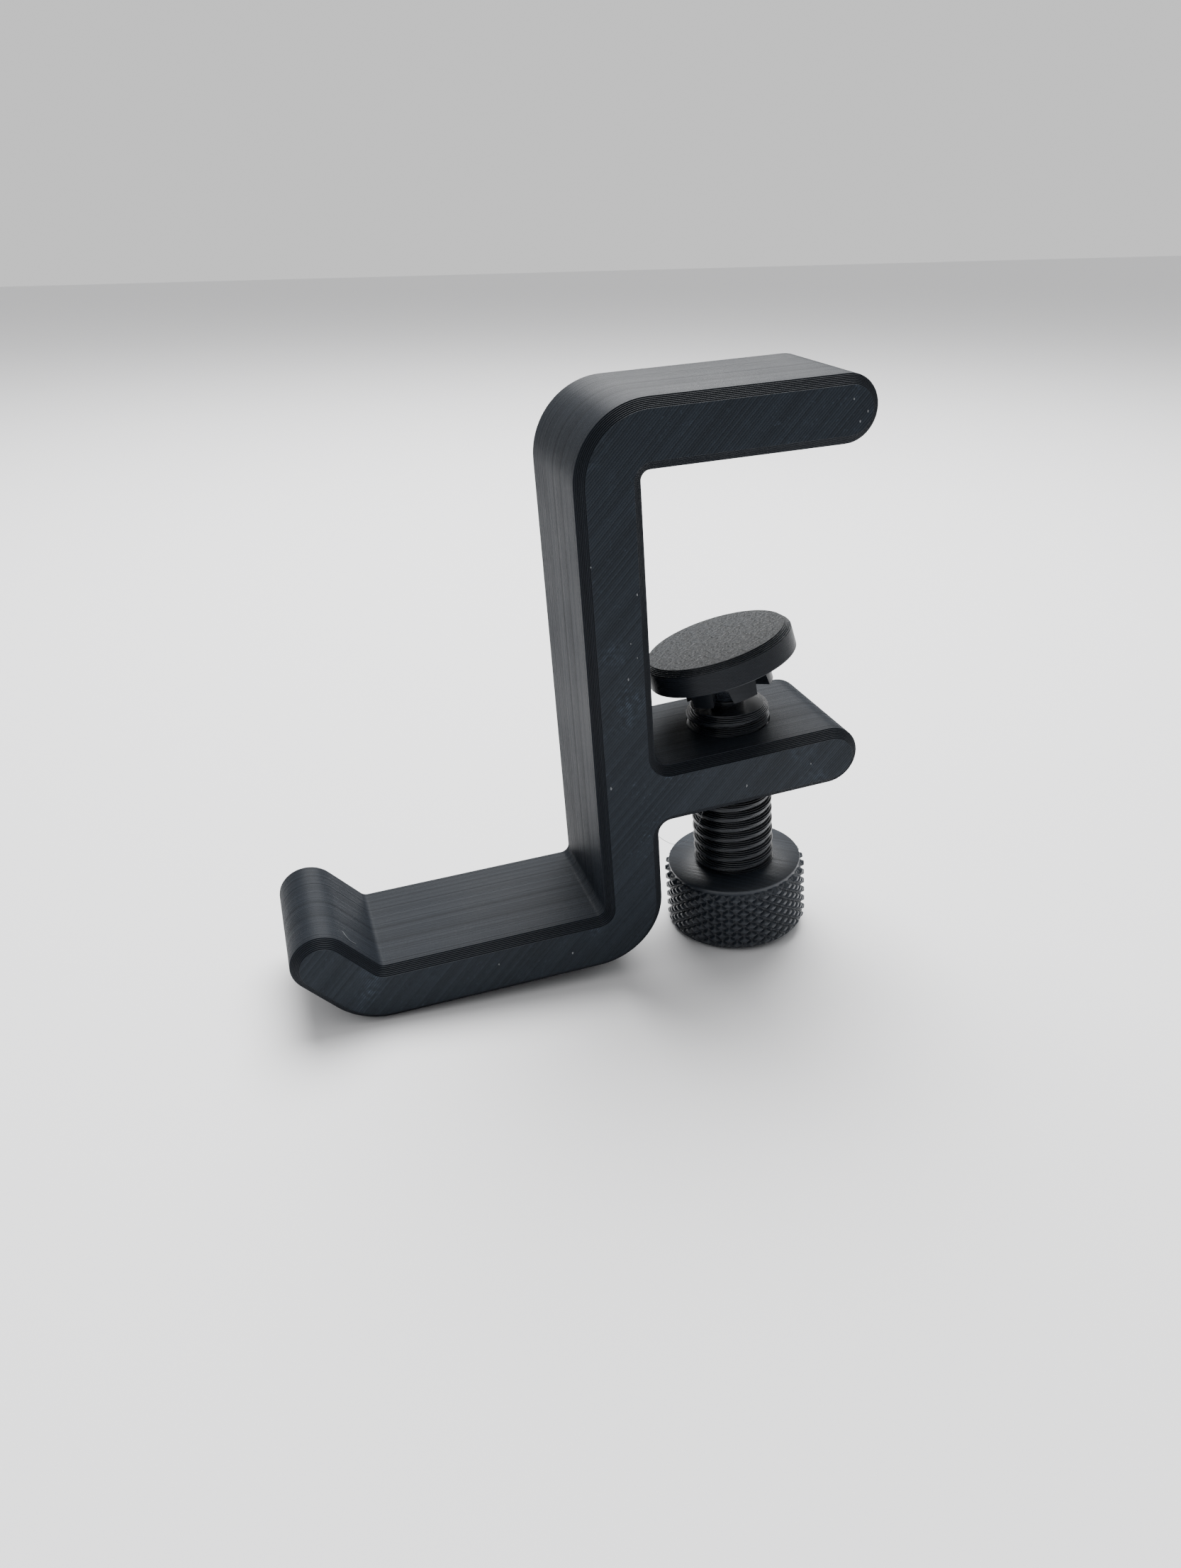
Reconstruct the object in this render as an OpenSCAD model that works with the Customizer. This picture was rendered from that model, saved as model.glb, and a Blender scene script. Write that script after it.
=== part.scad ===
// Clamp-on headphone hook: a printed bar frame with two jaws and an upturned hook arm,
// a thumb screw through the lower jaw, and a pressure pad snapped on the screw's ball end.
// Frame: +X towards the jaw tips, +Y from the front face to the back face, +Z up the spine.
// The origin is on the upper jaw's clamping face, above the screw, at mid depth.

/* [Frame bar] */
// Thickness of the bar that the whole frame is bent from
bar = 10; // [8:0.5:12]
// Depth of the frame, front face to back face
depth = 25; // [20:0.5:32]
// Width of the 45 degree chamfer along every long edge
chamfer = 1.5; // [0.5:0.1:2]
// Inside radius of the three bends
bend_r = 1.5; // [1:0.1:4]

/* [Jaws] */
// Jaw opening, measured along the spine at the screw
opening = 46.3; // [40:0.1:70]
// Distance from the spine's inner face to the screw axis
reach = 17; // [15:0.5:20]
// Length of the upper jaw, spine's inner face to the tip
upper_len = 36.7; // [32:0.1:50]
// Length of the lower jaw, spine's inner face to the tip
lower_len = 35.2; // [30:0.1:50]
// Angle by which the upper jaw closes towards its tip
upper_toe = 0.8; // [0:0.1:2]
// Angle by which the lower jaw and the screw close towards the tip
lower_toe = 1.4; // [0:0.1:2]
// Radius of the fillets that join the lower jaw to the spine
root_r = 2.5; // [1.5:0.1:4]

/* [Hook] */
// Gap from the lower jaw's underside down to the hook arm, at the spine
hook_drop = 15.3; // [12:0.1:30]
// Length of the hook arm's top, spine to the inside of the upturn
arm_len = 37.5; // [30:0.5:60]
// Angle of the upturned tip above the arm
upturn_angle = 49.5; // [30:0.5:80]
// Length of the upturn, before its round end
upturn_len = 8; // [4:0.5:20]

/* [Thumb screw] */
// Major diameter of the screw thread
thread_d = 13.9; // [12:0.1:16]
// Diameter of the hole through the lower jaw
hole_d = 14; // [12.1:0.1:16.2]
// Length of thread between the knob and the jaw's upper face
thread_below = 27.4; // [22:0.5:40]
// Length of thread standing above the jaw's upper face
thread_above = 3.2; // [3:0.1:8]
// Knob diameter over its knurl
knob_d = 25; // [20:0.5:28]
// Knob height
knob_h = 12; // [8:0.5:20]
// Width of the plain step above the knurl
lip = 0.8; // [0.3:0.1:1.5]

/* [Ball and pad] */
// Diameter of the ball on the screw's upper end
ball_d = 9.2; // [8:0.1:10]
// Height of the ball's centre above the screw thread
ball_rise = 4.8; // [4.5:0.1:6]
// Diameter of the neck between thread and ball
neck_d = 5.6; // [4:0.1:6]
// Gap between the ball and its socket
ball_gap = 0.05; // [0.02:0.01:0.1]
// Pad diameter
pad_d = 25; // [20:0.5:30]
// Pad thickness
pad_t = 4.5; // [4:0.1:7]
// Chamfer round the pad's clamping face
pad_chamfer = 1; // [0.4:0.1:1.5]
// Height of the clamping face above the ball's centre
pad_rise = 6.6; // [6.3:0.1:8]
// Outside diameter of the ring of snap fingers
ring_d = 14.8; // [13:0.1:16]
// Length of the snap fingers
finger_len = 4.5; // [3:0.1:4.6]
// Number of snap fingers
fingers = 6; // [4:1:8]
// Width of the slots between the fingers, where they leave the disc
slot_root = 2; // [1:0.1:3]
// Width of those slots at the finger tips
slot_tip = 3.5; // [2:0.1:5]
// Lean of the pad off the screw axis
pad_lean = 13.7; // [0:0.1:13.7]
// Direction of that lean round the screw axis, from +X
pad_heading = 146; // [0:1:360]

/* [Hidden] */
$fn = 96;

spine_x = -reach - bar / 2;                 // centre line of the spine
upper_z = reach * tan(upper_toe);           // clamping face where it meets the spine
bend_run = bend_r + bar / 2;                // centre-line radius of a bend
root_z = -opening - reach * tan(lower_toe); // upper face of the lower jaw at the spine
fill_z = root_z + root_r * tan(lower_toe);  // the same face where the fillet ends
arm_top = round(100 * (root_z - bar - hook_drop)) / 100; // upper face of the hook arm
// straight that the upturn's bend takes up, and height of the upper bend, both to a hundredth
hook_cut = round(100 * bend_r * tan(upturn_angle / 2)) / 100;
spine_top = round(100 * (upper_z - bend_r * tan(45 + upper_toe / 2))) / 100;

// Cross-section of the bar: thickness along X, depth along Y, chamfered corners
module section() {
    t = bar / 2;
    d = depth / 2;
    c = chamfer;
    polygon([[-t, -d + c], [-t + c, -d], [t - c, -d], [t, -d + c],
             [t, d - c], [t - c, d], [-t + c, d], [-t, d - c]]);
}

// A straight length of bar along +Z, with the next piece on its end
module straight(len) {
    linear_extrude(len) section();
    translate([0, 0, len]) children();
}

// A bend of the bar from +Z towards +X, with the next piece on its end
module bend(angle) {
    size = 4 * bend_run;
    translate([bend_run, 0, 0]) {
        difference() {
            rotate([90, 0, 0]) rotate_extrude() translate([bend_run, 0]) section();
            translate([-size / 2, -depth, -size]) cube([size, 2 * depth, size]);
            rotate([0, angle, 0]) translate([-size / 2, -depth, 0]) cube([size, 2 * depth, size]);
        }
        rotate([0, angle, 0]) translate([-bend_run, 0, 0]) children();
    }
}

// The full round end of a bar that arrives along +Z
module round_end() {
    t = bar / 2;
    d = depth / 2;
    c = chamfer;
    rotate([90, 0, 0]) rotate_extrude(angle = 180)
        polygon([[0, -d], [t - c, -d], [t, -d + c], [t, d - c], [t - c, d], [0, d]]);
}

// Material that fills the corner between +X and +Z, rounded to radius r. Its centre is moved in
// by sink, so that the round cuts cleanly into both faces.
module corner_fill(r) {
    d = depth / 2;
    c = chamfer;
    sink = 0.1;
    centre = r - sink;
    side = centre + c + 1 + 3 * sink;
    difference() {
        translate([-c - 1, -d, -c - 1]) cube([side, depth, side]);
        translate([centre, 0, centre]) rotate([90, 0, 0]) rotate_extrude()
            polygon([[0, -d - 1], [r + c + 1, -d - 1], [r, -d + c], [r, d - c],
                     [r + c + 1, d + 1], [0, d + 1]]);
    }
}

// Places its children on the screw axis, at the lower jaw's upper face
module on_screw_axis() {
    translate([0, 0, -opening]) rotate([0, -lower_toe, 0]) children();
}

module lower_jaw() {
    root = reach + bar / 2;
    translate([0, 0, -opening]) rotate([0, 90 - lower_toe, 0]) translate([bar / 2, 0, -root])
        straight(lower_len) round_end();
}

module frame() {
    low = arm_top + bend_r;
    color([0.16, 0.17, 0.19]) difference() {
        union() {
            translate([spine_x, 0, low]) straight(spine_top - low) bend(90 + upper_toe)
                straight(upper_len - bar / 2 - bend_r) round_end();
            translate([spine_x, 0, low]) rotate([0, 180, 0]) bend(90)
                straight(arm_len - bend_r - hook_cut) bend(upturn_angle)
                    straight(upturn_len - hook_cut) round_end();
            lower_jaw();
            translate([-reach, 0, fill_z]) corner_fill(root_r);
            translate([-reach, 0, fill_z - bar / cos(lower_toe)]) mirror([0, 0, 1])
                corner_fill(root_r);
        }
        on_screw_axis() translate([0, 0, -bar - 5]) cylinder(d = hole_d, h = bar + 10);
    }
}

module thumb_screw() {
    r = thread_d / 2;
    edge = 1.1; // lead-in at the top of the thread
    color([0.13, 0.14, 0.16]) on_screw_axis() {
        translate([0, 0, -thread_below]) cylinder(r = r, h = thread_below + thread_above - edge);
        translate([0, 0, thread_above - edge]) cylinder(r1 = r, r2 = r - edge, h = edge);
        translate([0, 0, -thread_below - lip]) cylinder(d = knob_d - 2 * lip, h = lip);
        translate([0, 0, -thread_below - knob_h + lip]) cylinder(d = knob_d, h = knob_h - 2 * lip);
        translate([0, 0, -thread_below - knob_h])
            cylinder(d1 = knob_d - 2 * lip, d2 = knob_d, h = lip);
    }
}

module at_ball() {
    on_screw_axis() translate([0, 0, thread_above + ball_rise]) children();
}

module ball_neck() {
    color([0.13, 0.14, 0.16]) difference() {
        on_screw_axis() translate([0, 0, thread_above]) cylinder(d = neck_d, h = ball_rise);
        at_ball() sphere(d = ball_d + 2 * ball_gap);
    }
}

module ball() {
    color([0.13, 0.14, 0.16]) at_ball() sphere(d = ball_d);
}

// A slot between two snap fingers, wider towards the finger tips and run a little past them
module finger_slot() {
    root = pad_rise - pad_t;
    past = 1;
    end = slot_tip / 2 + past * (slot_tip - slot_root) / (2 * finger_len);
    low = root - finger_len - past;
    rotate([90, 0, 90]) linear_extrude(ring_d)
        polygon([[-slot_root / 2, root], [-end, low], [end, low], [slot_root / 2, root]]);
}

module pad() {
    root = pad_rise - pad_t;
    color([0.17, 0.18, 0.20]) at_ball()
        rotate(a = pad_lean, v = [-sin(pad_heading), cos(pad_heading), 0]) difference() {
            union() {
                translate([0, 0, root]) cylinder(d = pad_d, h = pad_t - pad_chamfer);
                translate([0, 0, pad_rise - pad_chamfer])
                    cylinder(d1 = pad_d, d2 = pad_d - 2 * pad_chamfer, h = pad_chamfer);
                difference() {
                    translate([0, 0, root - finger_len]) cylinder(d = ring_d, h = finger_len);
                    for (i = [0 : fingers - 1]) rotate([0, 0, i * 360 / fingers])
                        finger_slot();
                }
            }
            sphere(d = ball_d + 2 * ball_gap);
        }
}

frame();
thumb_screw();
ball_neck();
ball();
pad();
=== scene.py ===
import math
import random

import bmesh
import bpy
import numpy as np
from mathutils import Matrix, Vector


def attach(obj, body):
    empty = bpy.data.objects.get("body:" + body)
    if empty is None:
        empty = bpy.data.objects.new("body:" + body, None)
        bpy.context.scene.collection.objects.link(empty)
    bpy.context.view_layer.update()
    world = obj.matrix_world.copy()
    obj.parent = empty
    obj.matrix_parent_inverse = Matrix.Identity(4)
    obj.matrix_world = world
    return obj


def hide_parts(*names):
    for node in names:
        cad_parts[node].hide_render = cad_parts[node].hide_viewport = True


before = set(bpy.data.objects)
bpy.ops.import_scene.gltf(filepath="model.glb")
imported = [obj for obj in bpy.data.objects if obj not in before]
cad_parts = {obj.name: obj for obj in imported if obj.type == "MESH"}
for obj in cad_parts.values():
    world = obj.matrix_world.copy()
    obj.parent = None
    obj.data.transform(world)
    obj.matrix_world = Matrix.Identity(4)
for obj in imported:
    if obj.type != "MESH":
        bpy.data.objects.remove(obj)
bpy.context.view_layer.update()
rng = random.Random(7)
MM = 0.001

# ---------------------------------------------------------------- camera
# A close three-quarter view from the front left and above, slightly rolled.
# Its axes come from a heading, a downward pitch and a roll, in radians.
heading, pitch, roll = 0.2568, 0.4894, 0.0795
forward = Vector((math.cos(pitch) * math.sin(heading), math.cos(pitch) * math.cos(heading), -math.sin(pitch)))
side = Vector((math.cos(heading), -math.sin(heading), 0))
down = forward.cross(side)
cam_x = math.cos(roll) * side + math.sin(roll) * down
cam_y = math.sin(roll) * side - math.cos(roll) * down
cam_data = bpy.data.cameras.new("camera")
cam_data.sensor_fit = "HORIZONTAL"
cam_data.sensor_width = 36
cam_data.lens = 36.48
cam_data.clip_start = 0.01
camera = bpy.data.objects.new("camera", cam_data)
camera.matrix_world = Matrix((cam_x, cam_y, -forward)).transposed().to_4x4()
camera.location = Vector((-69.82, -171.17, 40.92)) * MM
bpy.context.scene.collection.objects.link(camera)
bpy.context.scene.camera = camera

# ---------------------------------------------------------------- shared shapes
# The bar's centres and angles that the frame, the screw and the floor all need, in millimetres.
bar, depth, bevel = 10.0, 25.0, 1.5
r_in, r_out = 1.5, 11.5
toe_up, toe_low, upturn = math.radians(0.8), math.radians(1.4), math.radians(49.5)
opening, layer = 46.3, 0.2
arm_top = -72.02
top_c = (-15.5, -1.28)
root_c = (-28.5, arm_top + r_in)
hook_c = (-63.81, arm_top + r_in)
screw_frame = Matrix.Translation((0, 0, -opening)) @ Matrix.Rotation(-toe_low, 4, "Y")
ball_frame = screw_frame @ Matrix.Translation((0, 0, 8.0))
lean = Matrix.Rotation(math.radians(13.7), 4, (-math.sin(math.radians(146)), math.cos(math.radians(146)), 0))
pad_frame = ball_frame @ lean


def add_mesh(name, verts, faces, body, materials, place=Matrix.Identity(4), smooth=0.6):
    """A piece from points in millimetres, put in its place and riding on its body."""
    mesh = bpy.data.meshes.new(name)
    points = [(place @ Vector(v)) * MM for v in verts]
    mesh.from_pydata(points, [], faces)
    mesh.update()
    for m in materials:
        mesh.materials.append(m)
    obj = bpy.data.objects.new(name, mesh)
    bpy.context.scene.collection.objects.link(obj)
    mesh.shade_smooth()
    mesh.set_sharp_from_angle(angle=smooth)
    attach(obj, body)
    return obj


def stack(rings, ends=True):
    """Points and faces of a tube through rings of equal length, closed at both ends."""
    n = len(rings[0])
    verts = [tuple(p) for ring in rings for p in ring]
    faces = []
    for j in range(len(rings) - 1):
        a = j * n
        for i in range(n):
            k = (i + 1) % n
            faces.append((a + i, a + k, a + n + k, a + n + i))
    if ends:
        faces.append(tuple(reversed(range(n))))
        faces.append(tuple(range(len(verts) - n, len(verts))))
    return verts, faces


def turned(profile, segments=192):
    """Points and faces of a profile of (radius, height) pairs spun round Z; radius 0 closes it."""
    verts, faces, rows = [], [], []
    for r, z in profile:
        if r < 1e-6:
            rows.append([len(verts)] * segments)
            verts.append((0, 0, z))
        else:
            rows.append(list(range(len(verts), len(verts) + segments)))
            for i in range(segments):
                t = 2 * math.pi * i / segments
                verts.append((r * math.cos(t), r * math.sin(t), z))
    for low, high in zip(rows, rows[1:]):
        for i in range(segments):
            k = (i + 1) % segments
            quad = [low[i], low[k], high[k], high[i]]
            quad = [v for n, v in enumerate(quad) if v not in quad[:n]]
            if len(quad) > 2:
                faces.append(tuple(quad))
    return verts, faces


# ---------------------------------------------------------------- shader groups
def new_group(name, inputs, outputs):
    """A shader node group with named inputs and outputs, and its end nodes."""
    group = bpy.data.node_groups.new(name, "ShaderNodeTree")
    for label, kind, value in inputs:
        socket = group.interface.new_socket(label, in_out="INPUT", socket_type=kind)
        socket.default_value = value
    for label, kind in outputs:
        group.interface.new_socket(label, in_out="OUTPUT", socket_type=kind)
    return group, group.nodes.new("NodeGroupInput"), group.nodes.new("NodeGroupOutput")


def maths(tree, operation, a, b=None):
    node = tree.nodes.new("ShaderNodeMath")
    node.operation = operation
    for socket, value in zip(node.inputs, (a, b)):
        if isinstance(value, (int, float)):
            socket.default_value = value
        elif value is not None:
            tree.links.new(value, socket)
    return node.outputs[0]


def noise(tree, vector, scale, detail=3.0):
    node = tree.nodes.new("ShaderNodeTexNoise")
    node.inputs["Scale"].default_value = scale
    node.inputs["Detail"].default_value = detail
    tree.links.new(vector, node.inputs["Vector"])
    return node.outputs["Fac"]


# Filament: slow drift of colour and sheen along the print, with fine grain in the plastic.
filament, g_in, g_out = new_group(
    "filament",
    [("Colour", "NodeSocketColor", (0.03, 0.034, 0.042, 1)), ("Roughness", "NodeSocketFloat", 0.5),
     ("Grain scale", "NodeSocketFloat", 2600.0), ("Grain tone", "NodeSocketFloat", 0.3)],
    [("Colour", "NodeSocketColor"), ("Roughness", "NodeSocketFloat"), ("Grain", "NodeSocketFloat")],
)
place = filament.nodes.new("ShaderNodeTexCoord").outputs["Object"]
drift = noise(filament, place, 60, 4.0)
grain = noise(filament, place, 2600, 2.0)
filament.links.new(g_in.outputs["Grain scale"], grain.node.inputs["Scale"])
mottle = maths(filament, "MULTIPLY", maths(filament, "SUBTRACT", grain, 0.5), g_in.outputs["Grain tone"])
shade = maths(filament, "ADD", maths(filament, "MULTIPLY", drift, 0.36), mottle)
shade = maths(filament, "ADD", shade, 0.82)
tint = filament.nodes.new("ShaderNodeVectorMath")
tint.operation = "SCALE"
filament.links.new(g_in.outputs["Colour"], tint.inputs[0])
filament.links.new(shade, tint.inputs["Scale"])
filament.links.new(tint.outputs[0], g_out.inputs["Colour"])
sheen = maths(filament, "MULTIPLY", maths(filament, "SUBTRACT", drift, 0.5), 0.25)
filament.links.new(maths(filament, "ADD", g_in.outputs["Roughness"], sheen), g_out.inputs["Roughness"])
filament.links.new(grain, g_out.inputs["Grain"])

# Bead lines: parallel beads of plastic, each a little uneven and each of its own tone. Painted sheen
# tells where the last pass left them shiny: patches on the beads' crests painted lighter, a painted highlight.
infill, g_in, g_out = new_group(
    "bead_lines",
    [("Direction", "NodeSocketVector", (1, 0, 0)), ("Pitch", "NodeSocketFloat", 0.38 * MM),
     ("Wobble", "NodeSocketFloat", 0.35)],
    [("Height", "NodeSocketFloat"), ("Bead tone", "NodeSocketFloat"), ("Painted sheen", "NodeSocketFloat")],
)
place = infill.nodes.new("ShaderNodeTexCoord").outputs["Object"]
dot = infill.nodes.new("ShaderNodeVectorMath")
dot.operation = "DOT_PRODUCT"
infill.links.new(place, dot.inputs[0])
infill.links.new(g_in.outputs["Direction"], dot.inputs[1])
count = maths(infill, "DIVIDE", dot.outputs["Value"], g_in.outputs["Pitch"])
wobble = maths(infill, "MULTIPLY", noise(infill, place, 500, 2.0), g_in.outputs["Wobble"])
count = maths(infill, "ADD", count, wobble)
bead = maths(infill, "ABSOLUTE", maths(infill, "SINE", maths(infill, "MULTIPLY", count, math.pi)))
infill.links.new(maths(infill, "POWER", bead, 0.5), g_out.inputs["Height"])
each = infill.nodes.new("ShaderNodeTexWhiteNoise")
each.noise_dimensions = "1D"
infill.links.new(maths(infill, "FLOOR", count), each.inputs["W"])
infill.links.new(each.outputs["Value"], g_out.inputs["Bead tone"])
broken = maths(infill, "SUBTRACT", noise(infill, place, 1300, 3.0), 0.60)
# large blotches where the painted highlight falls
sheen_area = maths(infill, "SUBTRACT", noise(infill, place, 110, 2.0), 0.42)
patch = maths(infill, "MULTIPLY", maths(infill, "MULTIPLY", broken, 5.0), maths(infill, "MULTIPLY", sheen_area, 4.0))
keep = infill.nodes.new("ShaderNodeClamp")
infill.links.new(maths(infill, "MULTIPLY", patch, maths(infill, "POWER", bead, 2.0)), keep.inputs["Value"])
infill.links.new(keep.outputs[0], g_out.inputs["Painted sheen"])


def plastic(name, colour, rough, gloss, lines, pitch=0.2, wobble=0.0, lift=0.0, tones=0.3, sheen_paint=0.0,
            grit=0.006, grain=2600.0, mottle=0.3):
    """Black printed plastic. lines is the direction across its beads, and tones how much they differ."""
    mat = bpy.data.materials.new(name)
    mat.use_nodes = True
    tree = mat.node_tree
    shader = tree.nodes["Principled BSDF"]
    shader.inputs["IOR"].default_value = 1.46
    shader.inputs["Specular IOR Level"].default_value = gloss
    base = tree.nodes.new("ShaderNodeGroup")
    base.node_tree = filament
    base.inputs["Colour"].default_value = (*colour, 1)
    base.inputs["Roughness"].default_value = rough
    base.inputs["Grain scale"].default_value = grain
    base.inputs["Grain tone"].default_value = mottle
    beads = tree.nodes.new("ShaderNodeGroup")
    beads.node_tree = infill
    beads.inputs["Direction"].default_value = lines
    beads.inputs["Pitch"].default_value = pitch * MM
    beads.inputs["Wobble"].default_value = wobble
    grain_bump = tree.nodes.new("ShaderNodeBump")
    grain_bump.inputs["Distance"].default_value = grit * MM
    tree.links.new(base.outputs["Grain"], grain_bump.inputs["Height"])
    ridge = tree.nodes.new("ShaderNodeBump")
    ridge.inputs["Distance"].default_value = lift * MM
    tree.links.new(beads.outputs["Height"], ridge.inputs["Height"])
    tree.links.new(grain_bump.outputs["Normal"], ridge.inputs["Normal"])
    tree.links.new(ridge.outputs["Normal"], shader.inputs["Normal"])
    spread = maths(tree, "MULTIPLY", maths(tree, "SUBTRACT", beads.outputs["Bead tone"], 0.5), tones)
    # painted highlight: the sheen patches lighten the base colour
    painted_sheen = maths(tree, "MULTIPLY", beads.outputs["Painted sheen"], sheen_paint)
    toned = tree.nodes.new("ShaderNodeVectorMath")
    toned.operation = "SCALE"
    tree.links.new(base.outputs["Colour"], toned.inputs[0])
    tree.links.new(maths(tree, "ADD", maths(tree, "ADD", spread, painted_sheen), 1.0), toned.inputs["Scale"])
    tree.links.new(toned.outputs[0], shader.inputs["Base Color"])
    tree.links.new(maths(tree, "SUBTRACT", base.outputs["Roughness"], maths(tree, "MULTIPLY", spread, 0.25)),
                   shader.inputs["Roughness"])
    return mat


# ---------------------------------------------------------------- frame
# One printed bar, laid on its side and built up in 0.2 mm layers from the back face to the
# front one, so its sides show fine layer lines, its chamfers are small steps, and its front
# face is a sheet of beads at 45 degrees.
half = math.sqrt(0.5)
frame_side = plastic("frame_side", (0.0120, 0.0150, 0.0200), 0.42, 0.11, (0, 1, 0), tones=0.5)
# its front face carries lighter patches of painted highlight
frame_front = plastic("frame_front", (0.0125, 0.0175, 0.0245), 0.44, 0.18, (half, 0, -half),
                      pitch=0.38, wobble=0.3, lift=0.03, tones=0.38, sheen_paint=2.5)
frame_back = plastic("frame_back", (0.013, 0.014, 0.018), 0.50, 0.3, (half, 0, half), tones=0.1, grit=0.05)


def polar(centre, radius, angle):
    return (centre[0] + radius * math.cos(angle), centre[1] + radius * math.sin(angle))


def along(start, angle, length):
    return polar(start, length, angle)


up_start = polar(top_c, 6.5, math.radians(90) - toe_up)
up_tip = along(up_start, -toe_up, 30.2)
low_start = polar((0, -opening), 5.0, toe_low - math.radians(90))
low_tip = along(low_start, toe_low, 13.2)
lip_start = polar(hook_c, 6.5, -math.radians(90) - upturn)
lip_tip = along(lip_start, math.pi - upturn, 7.31)
fillet = 2.45
fillet_x = -17 + fillet
jaw_line = -opening + fillet_x * math.tan(toe_low)
fill_top = (fillet_x, jaw_line + fillet / math.cos(toe_low))
fill_low = (fillet_x, jaw_line - (bar + fillet) / math.cos(toe_low))
# each bend: centre, radius, start and end angle in degrees, and +1 outside or -1 inside
u, w, h = math.degrees(toe_up), math.degrees(toe_low), math.degrees(upturn)
bends = [
    (up_tip, 5.0, -90 - u, 90 - u, 1),
    (top_c, r_out, 90 - u, 180, 1),
    (root_c, r_in, 0, -90, -1),
    (hook_c, r_in, -90, -90 - h, -1),
    (lip_tip, 5.0, 90 - h, 270 - h, 1),
    (hook_c, r_out, 270 - h, 270, 1),
    (root_c, r_out, 270, 360, 1),
    (fill_low, fillet, 180, 90 + w, -1),
    (low_tip, 5.0, -90 + w, 90 + w, 1),
    (fill_top, fillet, -90 + w, -180, -1),
    (top_c, r_in, 180, 90 - u, -1),
]


def outline(inset):
    """The bar's closed outline, moved inwards by inset, always with the same count of points."""
    points = []
    for centre, radius, first, last, sign in bends:
        arc = []
        steps = 22 if radius > 3 else 9
        for i in range(steps + 1):
            angle = math.radians(first + (last - first) * i / steps)
            arc.append(polar(centre, radius - sign * inset, angle))
        if points:
            a, b = points[-1], arc[0]
            for i in range(1, 12):
                points.append((a[0] + (b[0] - a[0]) * i / 12, a[1] + (b[1] - a[1]) * i / 12))
        points += arc
    return np.array(points)


layers = round(depth / layer)
rings, waver = [], np.zeros(len(outline(0)))
for j in range(layers):
    height = (j + 0.5) * layer
    step_in = max(0.0, bevel - height, height - (depth - bevel))
    jitter = rng.uniform(-0.006, 0.006) + (0.02 if rng.random() < 0.04 else 0)
    y = -depth / 2 + j * layer
    for dy, extra in ((0.0, 0.035), (0.04, 0.006), (0.1, 0.0), (0.16, 0.006), (0.2, 0.035)):
        ring = outline(step_in + jitter + extra)
        rings.append(np.column_stack((ring[:, 0], np.full(len(ring), y + dy), ring[:, 1])))
verts, faces = stack(rings)
body = add_mesh("frame.print", verts, faces, "frame", [frame_side, frame_front, frame_back])
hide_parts("frame")
mesh = body.data
for poly in mesh.polygons:
    if len(poly.vertices) > 4:
        poly.material_index = 1 if poly.center.y < 0 else 2

# The screw's hole through the lower jaw, cut as the real one is, on the screw's axis.
verts, faces = turned([(0, -18), (7.06, -18), (7.06, 6), (0, 6)], 128)
cutter = bpy.data.meshes.new("hole")
cutter.from_pydata([(screw_frame @ Vector(v)) * MM for v in verts], [], faces)
hole = bpy.data.objects.new("hole", cutter)
bpy.context.scene.collection.objects.link(hole)
cut = body.modifiers.new("hole", "BOOLEAN")
cut.operation = "DIFFERENCE"
cut.solver = "MANIFOLD"
cut.object = hole
applied = bpy.data.meshes.new_from_object(body.evaluated_get(bpy.context.evaluated_depsgraph_get()))
body.modifiers.clear()
body.data = applied
applied.set_sharp_from_angle(angle=0.6)
bpy.data.objects.remove(hole)

# Loose strands and a few pimples of plastic that the nozzle left where it crossed a gap.
strand_mat = plastic("strand_grey", (0.16, 0.17, 0.18), 0.4, 0.5, (0, 1, 0))


def strand(name, points, radius, who):
    """A fine hair of plastic along a smooth curve through points, in millimetres."""
    data = bpy.data.curves.new(name, "CURVE")
    data.dimensions = "3D"
    data.bevel_depth = radius * MM
    data.bevel_resolution = 2
    data.use_fill_caps = True
    line = data.splines.new("NURBS")
    line.points.add(len(points) - 1)
    for knot, p in zip(line.points, points):
        knot.co = (p[0] * MM, p[1] * MM, p[2] * MM, 1)
    line.use_endpoint_u = True
    line.order_u = 3
    data.materials.append(strand_mat)
    obj = bpy.data.objects.new(name, data)
    bpy.context.scene.collection.objects.link(obj)
    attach(obj, who)


strand("frame.hair_root", [(-16.9, -11.0, -59.5), (-15.4, -12.4, -60.9), (-12.6, -12.8, -60.6), (-10.4, -12.0, -58.6),
                           (-9.2, -11.0, -56.6)], 0.035, "frame")
strand("frame.hair_lip", [(-69.4, -8.0, -66.0), (-68.8, -9.6, -66.8), (-67.6, -9.0, -68.4), (-66.9, -8.4, -69.6)],
       0.035, "frame")
verts, faces = [], []
for x, z in ((16.2, 3.1), (17.4, 4.4), (15.1, 6.4), (-18.9, -17.2), (-20.3, -24.6), (-19.4, -27.0), (-21.0, -30.2),
             (-25.6, -12.0), (-24.9, -48.0), (-2.0, -52.6), (9.4, -51.0), (-46.0, -76.0), (-33.5, -77.2)):
    size = rng.uniform(0.07, 0.15)
    lump = bmesh.new()
    bmesh.ops.create_icosphere(lump, subdivisions=2, radius=size)
    for v in lump.verts:
        v.co *= rng.uniform(0.75, 1.25)
        v.co.z *= 1.8
    start = len(verts)
    verts += [(x + v.co.x, -depth / 2 - 0.02 + v.co.y * 0.6, z + v.co.z) for v in lump.verts]
    faces += [tuple(start + v.index for v in face.verts) for face in lump.faces]
    lump.free()
specks = add_mesh("frame.specks", verts, faces, "frame", [strand_mat])

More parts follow.
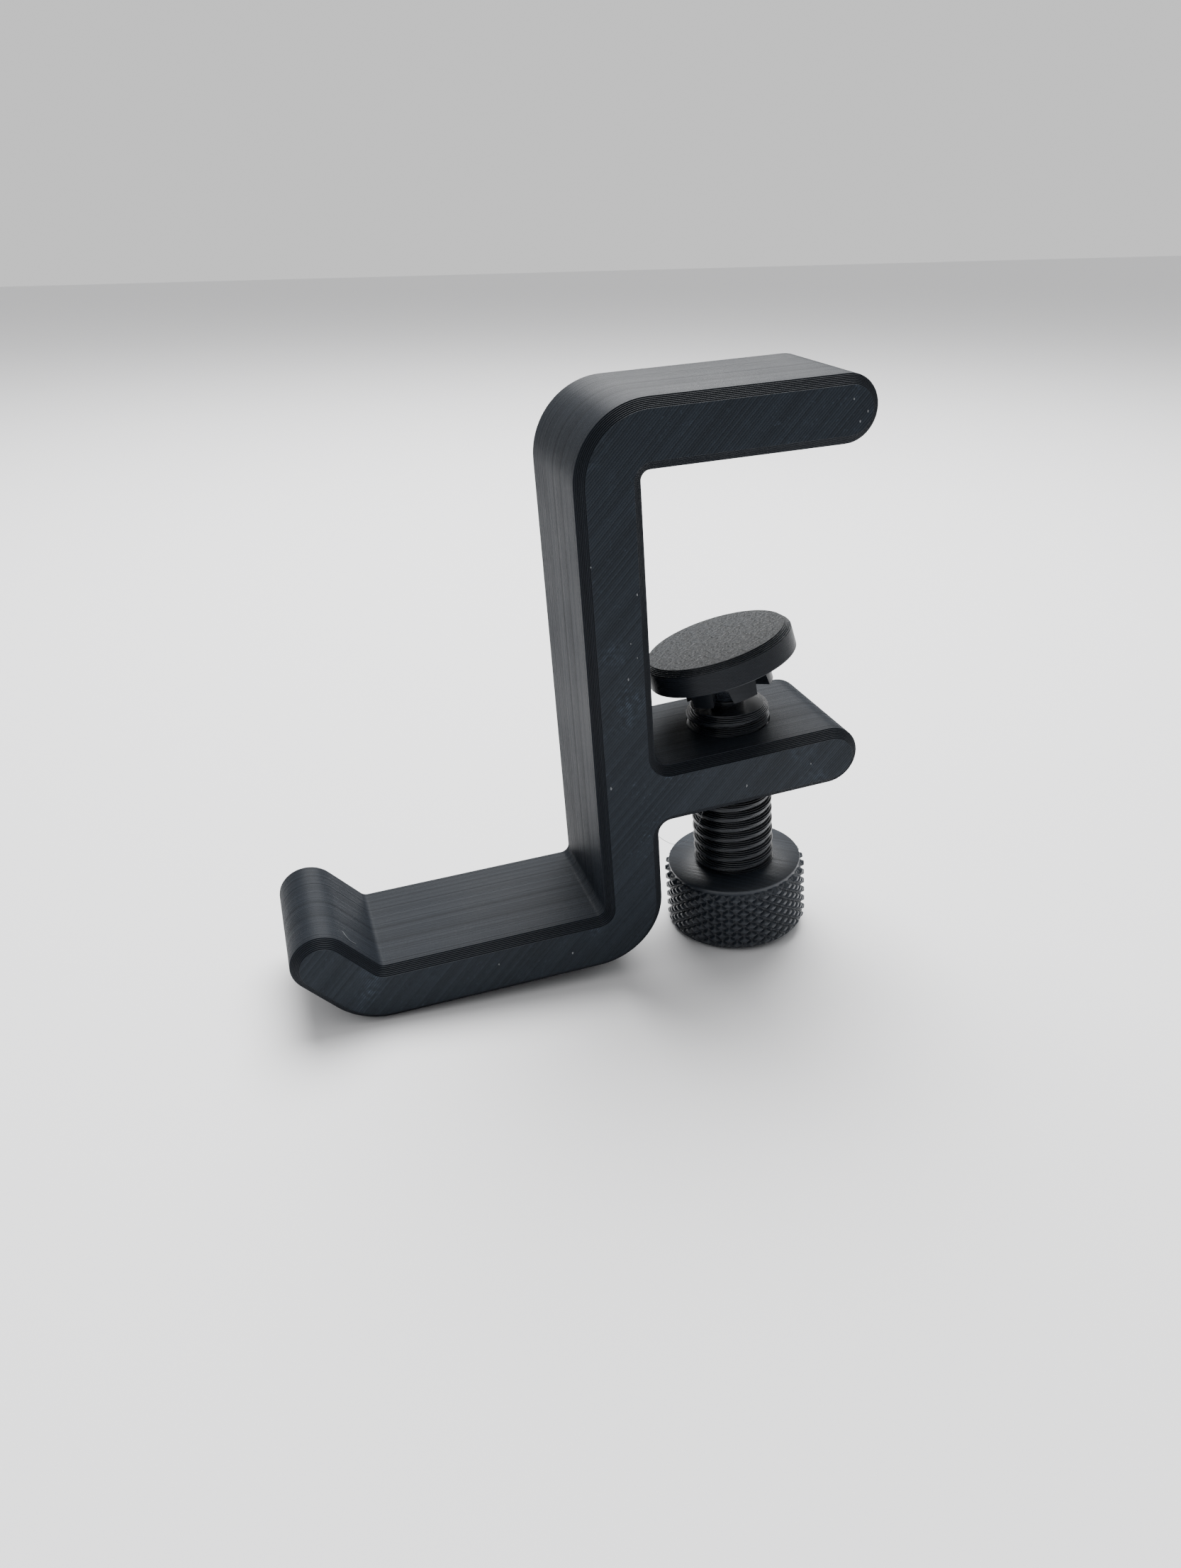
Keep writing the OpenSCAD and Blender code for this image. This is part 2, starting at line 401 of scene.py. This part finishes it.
# ---------------------------------------------------------------- thumb screw
# One print stood on its knob: a right-handed M14 x 2 thread built from round beads, and a
# knob with a plain step above a knurl of small diamonds.
screw_dark = plastic("screw_thread", (0.016, 0.0195, 0.025), 0.30, 0.7, (0, 0, 1), tones=0.3)
# The knob's base is lighter than the thread's, though both are one print: painted light for the lit faces of its
# knurl.
knob_lit = plastic("screw_knob", (0.021, 0.027, 0.036), 0.36, 0.55, (0, 0, 1), tones=0.2)
knob_top = plastic("screw_knob_top", (0.018, 0.023, 0.031), 0.38, 0.35, (half, half, 0),
                   pitch=0.42, wobble=0.2, lift=0.02, tones=0.5)


crest, thread_pitch, thread_deep, thread_top = 7.0, 2.0, 1.15, 3.2


def thread_radius(angle, s):
    """Radius of the thread at an angle and a height, with a lead-in at its top."""
    turn = (s + 0.4) / thread_pitch + (2.79 - angle) / (2 * math.pi)
    away = abs(turn - round(turn)) * thread_pitch
    r = crest - max(0.0, min(thread_deep, (away - 0.22) * 1.75))
    return min(r, crest - max(0.0, s - thread_top + 0.9))


rings, s = [], -28.0
while s < thread_top - 1e-6:
    for ds, extra in ((0.0, 0.03), (0.05, 0.0), (0.15, 0.0), (0.2, 0.03)):
        ring = []
        for i in range(144):
            t = 2 * math.pi * i / 144
            r = thread_radius(t, s + 0.1) - extra
            ring.append((r * math.cos(t), r * math.sin(t), s + ds))
        rings.append(ring)
    s += layer
verts, faces = stack(rings)
thread = add_mesh("screw.thread", verts, faces, "screw", [screw_dark], screw_frame, 0.9)

# Two crossing sets of grooves leave the diamonds: so many round the knob, one row every 1.87 mm.
columns, row = 29, 1.87
around = 12 * columns
knob_bottom, knurl_top, knob_face = -39.4, -28.3, -27.4


def circle(r, z, points):
    """A level ring of points about the screw's axis."""
    turns = (2 * math.pi * i / points for i in range(points))
    return [(r * math.cos(t), r * math.sin(t), z) for t in turns]


rings = [circle(10.9, knob_bottom, around), circle(11.6, knob_bottom + 0.12, around),
         circle(12.0, knob_bottom + 0.4, around)]
z = knob_bottom + 0.6
while z < knurl_top:
    ring = []
    for i in range(around):
        t = 2 * math.pi * i / around
        a = columns * i / around + z / row
        b = columns * i / around - z / row
        rise = min(abs(a - math.floor(a + 0.5)), abs(b - math.floor(b + 0.5))) * 2
        edge = min(1.0, (z - knob_bottom) / 1.2, (knurl_top - z) / 0.4 + 0.3)
        top = min(1.0, rise * 1.7)
        r = 11.75 + 0.72 * top * top * (3 - 2 * top) * edge
        ring.append((r * math.cos(t), r * math.sin(t), z))
    rings.append(ring)
    z += 0.1
for r, z in ((11.7, knurl_top), (11.72, knurl_top + 0.05), (11.72, knurl_top + 0.8), (11.66, knob_face),
             (6.0, knob_face + 0.02)):
    rings.append(circle(r, z, around))
verts, faces = stack(rings)
knob = add_mesh("screw.knob", verts, faces, "screw", [knob_lit, knob_top], screw_frame, 1.2)
for poly in knob.data.polygons:
    if poly.normal.z > 0.97 and poly.center.z > -(opening - knurl_top - 0.1) * MM:
        poly.material_index = 1
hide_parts("thumb_screw")

# The neck and the ball are the screw's own top end; their CAD solids keep their shape.
for node in ("ball_neck", "ball"):
    solid = bpy.data.objects[node]
    solid.data.materials.clear()
    solid.data.materials.append(screw_dark)

# ---------------------------------------------------------------- pad
# One print, made with its clamping face down on the bed: a smooth disc whose chamfer is five
# steps, and six snap fingers that spread over the ball.
pad_face = plastic("pad_face", (0.012, 0.0142, 0.0165), 0.36, 0.16, (half, half, 0), tones=0.05, grit=0.40,
                   grain=1600.0, mottle=3.6)
pad_side = plastic("pad_side", (0.012, 0.0145, 0.019), 0.38, 0.25, (0, 0, 1), tones=0.2)
profile = [(0, 6.6)]
z = 6.6
for j in range(22):
    r = min(12.5, 11.5 + 0.2 * (j + 0.5))
    for dz, extra in ((0.0, 0.035), (0.05, 0.0), (0.15, 0.0), (0.2, 0.035)):
        profile.append((r - extra, z - dz))
    z -= layer
profile.append((12.4, 2.1))
for i in range(10):
    t = math.radians(27 + 63 * i / 9)
    profile.append((4.65 * math.cos(t) if i < 9 else 0, 4.65 * math.sin(t)))
verts, faces = turned(profile, 192)
pad = add_mesh("pad.disc", verts, faces, "pad", [pad_side, pad_face], pad_frame, 0.5)
pad_up = (pad_frame.to_3x3() @ Vector((0, 0, 1))).normalized()
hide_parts("pad")
for poly in pad.data.polygons:
    if abs(poly.normal.dot(pad_up)) > 0.99:
        poly.material_index = 1
verts, faces = [], []
for k in range(6):
    middle = math.radians(60 * k + 30)
    rings = []
    for j in range(23):
        z = 2.15 - j * (4.55 / 22)
        for dz, extra in ((0.0, 0.02), (-0.1, 0.0)):
            slot_half = 1.0 + 0.75 * (2.1 - z) / 4.5 + extra
            z2 = max(z + dz, -2.4)
            inner = math.sqrt(4.65 ** 2 - min(z2, 2.1) ** 2)
            ring = []
            for r, order in ((inner, range(9)), (7.4 - extra, range(8, -1, -1))):
                wide = math.radians(30) - math.asin(slot_half / r)
                for i in order:
                    t = middle + wide * (i / 4 - 1)
                    ring.append((r * math.cos(t), r * math.sin(t), z2))
            rings.append(ring)
    v, f = stack(rings)
    faces += [tuple(i + len(verts) for i in face) for face in f]
    verts += v
fingers = add_mesh("pad.fingers", verts, faces, "pad", [pad_side], pad_frame, 0.6)

# ---------------------------------------------------------------- floor and light
# A plain pale table. The hook rests on its lower bend and on the knob's edge, so the table
# is a plane that touches both.
rim = screw_frame @ Vector((-12.0, 0, -39.1))
reach = Vector((rim.x - hook_c[0], rim.z - hook_c[1]))
tilt = math.atan2(reach.y, reach.x) - math.acos(r_out / reach.length)
touch = Vector((hook_c[0] + r_out * math.cos(tilt), 0, hook_c[1] + r_out * math.sin(tilt)))
slope = -(tilt + math.pi / 2)
mesh = bpy.data.meshes.new("table")
square = bmesh.new()
bmesh.ops.create_grid(square, x_segments=8, y_segments=8, size=1.6)
square.to_mesh(mesh)
square.free()
table = bpy.data.objects.new("table", mesh)
bpy.context.scene.collection.objects.link(table)
table.rotation_euler = (0, slope, 0)
table.location = touch * MM
pale = bpy.data.materials.new("table_white")
pale.use_nodes = True
pale.node_tree.nodes["Principled BSDF"].inputs["Base Color"].default_value = (0.86, 0.86, 0.87, 1)
pale.node_tree.nodes["Principled BSDF"].inputs["Roughness"].default_value = 0.6
mesh.materials.append(pale)

world = bpy.data.worlds.new("studio")
world.use_nodes = True
# white walls behind and above; a dim room behind the viewer
sky = world.node_tree
where = sky.nodes.new("ShaderNodeTexCoord").outputs["Generated"]
facing = sky.nodes.new("ShaderNodeVectorMath")
facing.operation = "DOT_PRODUCT"
facing.inputs[1].default_value = Vector((-0.05, 0.70, 0.71))
sky.links.new(where, facing.inputs[0])
ramp = sky.nodes.new("ShaderNodeValToRGB")
ramp.color_ramp.elements[0].position = 0.30
ramp.color_ramp.elements[0].color = (0.10, 0.105, 0.12, 1)
ramp.color_ramp.elements[1].position = 0.62
ramp.color_ramp.elements[1].color = (1, 1, 1, 1)
sky.links.new(maths(sky, "MULTIPLY", maths(sky, "ADD", facing.outputs["Value"], 1.0), 0.5), ramp.inputs["Fac"])
sky.links.new(ramp.outputs["Color"], sky.nodes["Background"].inputs["Color"])
sky.nodes["Background"].inputs["Strength"].default_value = 0.85
bpy.context.scene.world = world


def softbox(name, place, aim, size, power):
    data = bpy.data.lights.new(name, "AREA")
    data.shape = "DISK"
    data.size = size
    data.energy = power
    lamp = bpy.data.objects.new(name, data)
    lamp.location = place
    lamp.rotation_euler = (Vector(aim) - Vector(place)).to_track_quat("-Z", "Y").to_euler()
    bpy.context.scene.collection.objects.link(lamp)


centre = (-0.03, 0, -0.04)
softbox("overhead", (0.10, 0.28, 0.50), (0, 0, -0.02), 0.6, 12)
